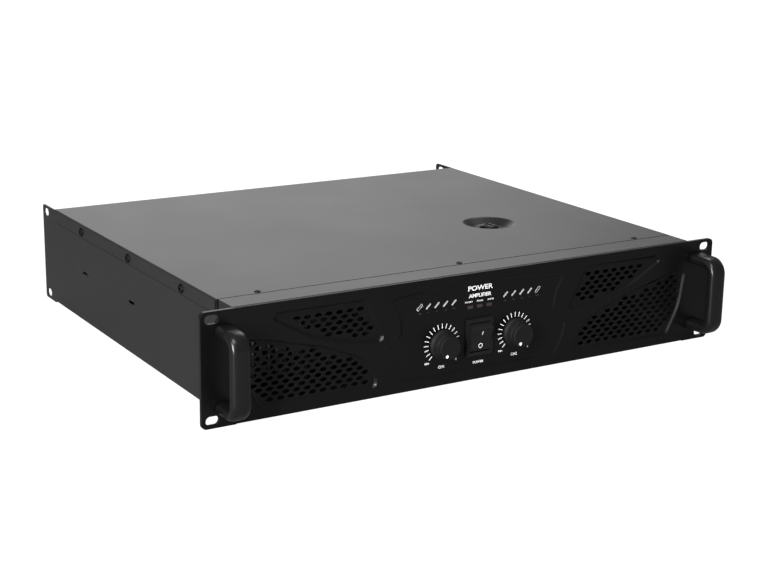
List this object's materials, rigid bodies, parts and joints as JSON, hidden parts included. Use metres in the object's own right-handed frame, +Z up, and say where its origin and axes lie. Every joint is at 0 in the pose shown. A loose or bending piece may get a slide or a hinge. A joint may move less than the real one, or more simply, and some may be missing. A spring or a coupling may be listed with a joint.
{
  "type": "power amplifier",
  "caption": "Rack-mount audio power amplifier with grilled black front panel, side handles, level knobs, power rocker, steel case and rear connector panel.",
  "frame": {"origin": "centre of the four rack slots on the front panel's front face", "axes": "+X to the right seen from the front, +Y to the rear, +Z up"},
  "size_m": [0.4826, 0.4254, 0.0892],
  "materials": {
    "fascia": "satin black",
    "black_plastic": "fine moulded grain",
    "powder_coat": "fine powder coat with a soft sheen",
    "black_screw": "black oxide",
    "zinc_screw": "bright zinc",
    "winding_tape": "wound polyester tape",
    "rubber": "matt",
    "bare_aluminium": "as extruded",
    "green_board": "solder mask",
    "brown_board": "laminate",
    "capacitor_sleeve": "shrink sleeve",
    "brass": "plain",
    "led_clear": "clear lamp",
    "lamp_white": "milky lens",
    "lamp_red": "dark tinted lens",
    "white_button": "moulded",
    "red_cap": "moulded",
    "black_cap": "moulded"
  },
  "bodies": {
    "chassis": {"front_panel": "fascia", "handle_left": "black_plastic", "handle_right": "black_plastic", "switch_body": "black_plastic", "mains_inlet": "black_plastic", "breaker_body": "black_plastic", "speaker_sockets": "black_plastic", "input_sockets": "black_plastic", "link_plugs": "black_plastic", "output_transistors": "black_plastic", "bridge_rectifiers": "black_plastic", "fan_frame_left": "black_plastic", "fan_frame_right": "black_plastic", "front_frame": "powder_coat", "chassis_tray": "powder_coat", "rear_panel": "powder_coat", "top_cover": "powder_coat", "cover_side_screws": "black_screw", "cover_front_screws": "black_screw", "transformer_bolt": "black_screw", "handle_screws": "zinc_screw", "fascia_screws": "zinc_screw", "rear_panel_screws": "zinc_screw", "fan_screws": "zinc_screw", "fan_guards": "zinc_screw", "transformer_washer": "zinc_screw", "transformer_nut": "zinc_screw", "pot_nuts": "zinc_screw", "level_pots": "zinc_screw", "slide_switches": "zinc_screw", "inlet_pins": "zinc_screw", "transformer_winding": "winding_tape", "transformer_pads": "rubber", "heat_sink_left": "bare_aluminium", "heat_sink_right": "bare_aluminium", "amplifier_boards": "green_board", "control_board": "green_board", "supply_board": "brown_board", "filter_capacitors": "capacitor_sleeve", "board_standoffs": "brass", "binding_posts": "brass", "lamp_leds": "led_clear", "level_lenses": "lamp_white", "status_lenses": "lamp_red"},
    "knob_ch1": {"knob_left": "black_plastic", "pot_shaft_left": "brass"},
    "knob_ch2": {"knob_right": "black_plastic", "pot_shaft_right": "brass"},
    "rocker": {"power_rocker": "black_plastic"},
    "fan_1": {"fan_rotor_left": "black_plastic"},
    "fan_2": {"fan_rotor_right": "black_plastic"},
    "reset_button": {"breaker_button": "white_button"},
    "post_1": {"post_cap_1": "red_cap"},
    "post_2": {"post_cap_2": "black_cap"},
    "post_3": {"post_cap_3": "red_cap"},
    "post_4": {"post_cap_4": "black_cap"},
    "latch_1": {"input_latch_left": "zinc_screw"},
    "latch_2": {"input_latch_right": "zinc_screw"},
    "mode_switch": {"mode_slider": "black_plastic"},
    "ground_lift": {"lift_slider": "black_plastic"}
  },
  "joints": [
    {"name": "level_ch1_turn", "type": "hinge", "parent": "chassis", "child": "knob_ch1", "pos_m": [-0.0349, 0, -0.0099], "axis": [0, 1, 0], "range_deg": [0, 300]},
    {"name": "level_ch2_turn", "type": "hinge", "parent": "chassis", "child": "knob_ch2", "pos_m": [0.0349, 0, -0.0099], "axis": [0, 1, 0], "range_deg": [0, 300]},
    {"name": "power_rock", "type": "hinge", "parent": "chassis", "child": "rocker", "pos_m": [0, 0.0035, -0.0087], "axis": [-1, 0, 0], "range_deg": [0, 26]},
    {"name": "fan_1_spin", "type": "hinge", "parent": "chassis", "child": "fan_1", "pos_m": [-0.165, 0.35, 0.0006], "axis": [0, 1, 0], "continuous": true},
    {"name": "fan_2_spin", "type": "hinge", "parent": "chassis", "child": "fan_2", "pos_m": [-0.081, 0.35, 0.0006], "axis": [0, 1, 0], "continuous": true},
    {"name": "reset_press", "type": "slide", "parent": "chassis", "child": "reset_button", "axis": [0, -1, 0], "range_m": [0, 0.003], "stiffness_N_per_m": 800, "springref_m": -0.001},
    {"name": "post_1_unscrew", "type": "slide", "parent": "chassis", "child": "post_1", "axis": [0, 1, 0], "range_m": [0, 0.005]},
    {"name": "post_2_unscrew", "type": "slide", "parent": "chassis", "child": "post_2", "axis": [0, 1, 0], "range_m": [0, 0.005]},
    {"name": "post_3_unscrew", "type": "slide", "parent": "chassis", "child": "post_3", "axis": [0, 1, 0], "range_m": [0, 0.005]},
    {"name": "post_4_unscrew", "type": "slide", "parent": "chassis", "child": "post_4", "axis": [0, 1, 0], "range_m": [0, 0.005]},
    {"name": "latch_1_press", "type": "slide", "parent": "chassis", "child": "latch_1", "axis": [0, -1, 0], "range_m": [0, 0.0018], "stiffness_N_per_m": 800, "springref_m": -0.0005},
    {"name": "latch_2_press", "type": "slide", "parent": "chassis", "child": "latch_2", "axis": [0, -1, 0], "range_m": [0, 0.0018], "stiffness_N_per_m": 800, "springref_m": -0.0005},
    {"name": "mode_slide", "type": "slide", "parent": "chassis", "child": "mode_switch", "axis": [1, 0, 0], "range_m": [0, 0.0045]},
    {"name": "ground_lift_slide", "type": "slide", "parent": "chassis", "child": "ground_lift", "axis": [1, 0, 0], "range_m": [0, 0.0045]}
  ]
}
